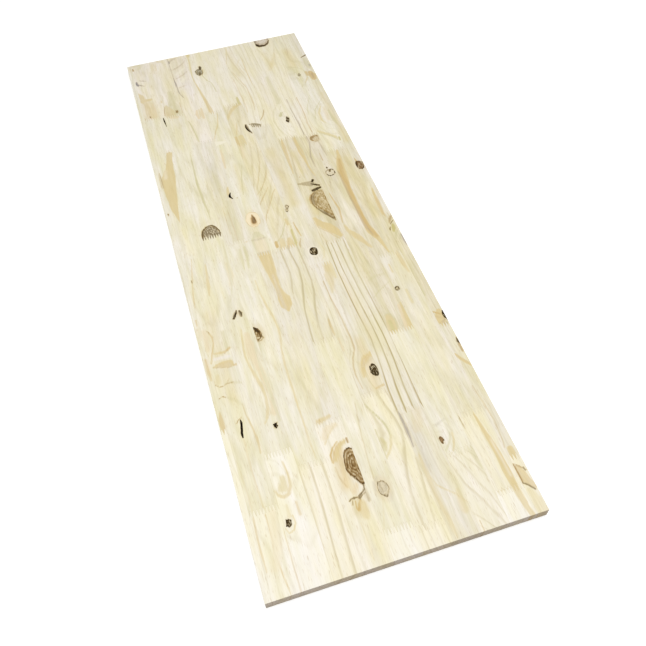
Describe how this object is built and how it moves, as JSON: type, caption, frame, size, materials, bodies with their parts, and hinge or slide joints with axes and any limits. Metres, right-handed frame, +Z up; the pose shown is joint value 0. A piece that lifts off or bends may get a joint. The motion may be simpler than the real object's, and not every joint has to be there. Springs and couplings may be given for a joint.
{
  "type": "finger-jointed edge-glued pine panel",
  "caption": "Flat rectangular panel of pine staves glued edge to edge, each stave finger-jointed from short knotty blocks, for shelves and furniture.",
  "frame": {"origin": "middle of the underside", "axes": "+X across the staves, +Y along the grain, +Z up through the thickness to the better face"},
  "size_m": [0.4, 1.25, 0.018],
  "materials": {
    "pine": "planed and sanded, unfinished"
  },
  "bodies": {
    "root": {"stave_01_block_1": "pine", "stave_01_block_2": "pine", "stave_01_block_3": "pine", "stave_02_block_1": "pine", "stave_02_block_2": "pine", "stave_02_block_3": "pine", "stave_02_block_4": "pine", "stave_03_block_1": "pine", "stave_03_block_2": "pine", "stave_03_block_3": "pine", "stave_03_block_4": "pine", "stave_04_block_1": "pine", "stave_04_block_2": "pine", "stave_04_block_3": "pine", "stave_04_block_4": "pine", "stave_05_block_1": "pine", "stave_05_block_2": "pine", "stave_05_block_3": "pine", "stave_05_block_4": "pine", "stave_06_block_1": "pine", "stave_06_block_2": "pine", "stave_06_block_3": "pine", "stave_06_block_4": "pine", "stave_06_block_5": "pine", "stave_06_block_6": "pine", "stave_07_block_1": "pine", "stave_07_block_2": "pine", "stave_07_block_3": "pine", "stave_07_block_4": "pine", "stave_07_block_5": "pine", "stave_08_block_1": "pine", "stave_08_block_2": "pine", "stave_08_block_3": "pine", "stave_08_block_4": "pine", "stave_09_block_1": "pine", "stave_09_block_2": "pine", "stave_09_block_3": "pine", "stave_09_block_4": "pine", "stave_10_block_1": "pine", "stave_10_block_2": "pine", "stave_10_block_3": "pine", "stave_10_block_4": "pine", "stave_10_block_5": "pine", "stave_11_block_1": "pine", "stave_11_block_2": "pine", "stave_11_block_3": "pine", "stave_11_block_4": "pine"}
  },
  "joints": []
}
